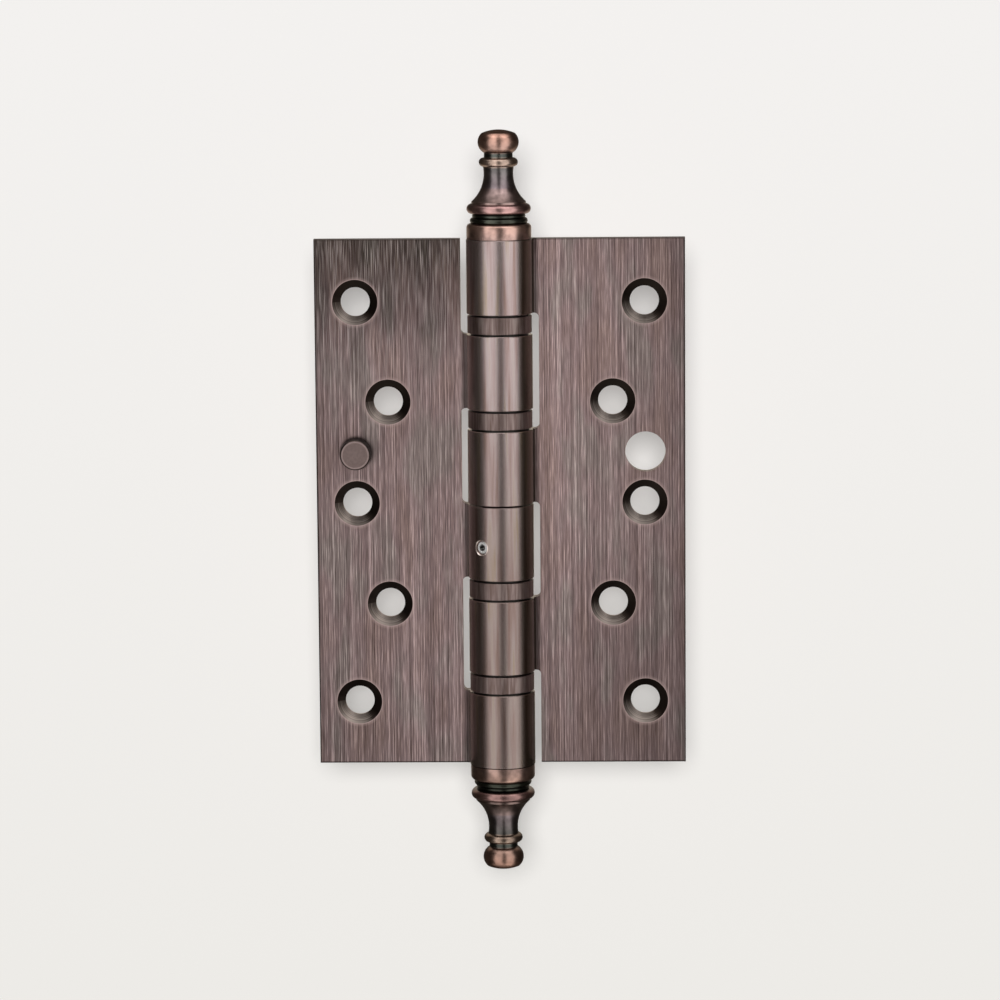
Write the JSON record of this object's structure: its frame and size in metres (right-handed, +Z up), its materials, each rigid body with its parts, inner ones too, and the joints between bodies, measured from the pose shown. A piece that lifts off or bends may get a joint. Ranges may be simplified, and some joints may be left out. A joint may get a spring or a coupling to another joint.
{
  "type": "ball bearing butt hinge",
  "caption": "Copper-finished steel butt hinge with ball bearings between its knuckles, turned ball finials, countersunk screw holes and a security stud.",
  "frame": {"origin": "on the barrel axis, halfway up the leaves; the box's centre when the hinge lies open flat", "axes": "+Z up the barrel, +X to the swinging leaf, -Y the side of the countersinks, +Y the side that meets the wood"},
  "size_m": [0.0886, 0.0156, 0.1788],
  "materials": {
    "leaf_plate": "antique copper plate, brushed along the barrel",
    "stud_plate": "antique copper plate, turned",
    "shell_plate": "antique copper plate, satin",
    "finial_copper": "antique copper plate, turned and relieved on the high edges",
    "pin_steel": "ground",
    "screw_steel": "bright",
    "race_steel": "hardened and ground",
    "ball_steel": "polished",
    "cage_brass": "pressed"
  },
  "bodies": {
    "fixed_leaf": {"leaf_left": "leaf_plate", "hinge_pin": "pin_steel", "finial_top": "finial_copper", "finial_bottom": "finial_copper", "set_screw": "screw_steel", "security_stud": "stud_plate", "bearing_1_shell": "shell_plate", "bearing_1_lower_race": "race_steel", "bearing_2_upper_race": "race_steel", "bearing_3_upper_race": "race_steel", "bearing_4_shell": "shell_plate", "bearing_4_lower_race": "race_steel"},
    "swing_leaf": {"leaf_right": "leaf_plate", "bearing_1_upper_race": "race_steel", "bearing_2_shell": "shell_plate", "bearing_2_lower_race": "race_steel", "bearing_3_shell": "shell_plate", "bearing_3_lower_race": "race_steel", "bearing_4_upper_race": "race_steel"},
    "bearing_1_row": {"bearing_1_balls": "ball_steel", "bearing_1_cage": "cage_brass"},
    "bearing_2_row": {"bearing_2_balls": "ball_steel", "bearing_2_cage": "cage_brass"},
    "bearing_3_row": {"bearing_3_balls": "ball_steel", "bearing_3_cage": "cage_brass"},
    "bearing_4_row": {"bearing_4_balls": "ball_steel", "bearing_4_cage": "cage_brass"}
  },
  "joints": [
    {"name": "leaf_swing", "type": "hinge", "parent": "fixed_leaf", "child": "swing_leaf", "pos_m": [0, 0, 0], "axis": [0, 0, 1], "range_deg": [-180, 130]},
    {"name": "bearing_1_roll", "type": "hinge", "parent": "fixed_leaf", "child": "bearing_1_row", "pos_m": [0, 0, 0], "axis": [0, 0, 1], "range_deg": [-90, 65]},
    {"name": "bearing_2_roll", "type": "hinge", "parent": "fixed_leaf", "child": "bearing_2_row", "pos_m": [0, 0, 0], "axis": [0, 0, 1], "range_deg": [-90, 65]},
    {"name": "bearing_3_roll", "type": "hinge", "parent": "fixed_leaf", "child": "bearing_3_row", "pos_m": [0, 0, 0], "axis": [0, 0, 1], "range_deg": [-90, 65]},
    {"name": "bearing_4_roll", "type": "hinge", "parent": "fixed_leaf", "child": "bearing_4_row", "pos_m": [0, 0, 0], "axis": [0, 0, 1], "range_deg": [-90, 65]}
  ],
  "couplings": [
    {"joint": "bearing_1_roll", "follows": "leaf_swing", "ratio": 0.5},
    {"joint": "bearing_2_roll", "follows": "leaf_swing", "ratio": 0.5},
    {"joint": "bearing_3_roll", "follows": "leaf_swing", "ratio": 0.5},
    {"joint": "bearing_4_roll", "follows": "leaf_swing", "ratio": 0.5}
  ]
}
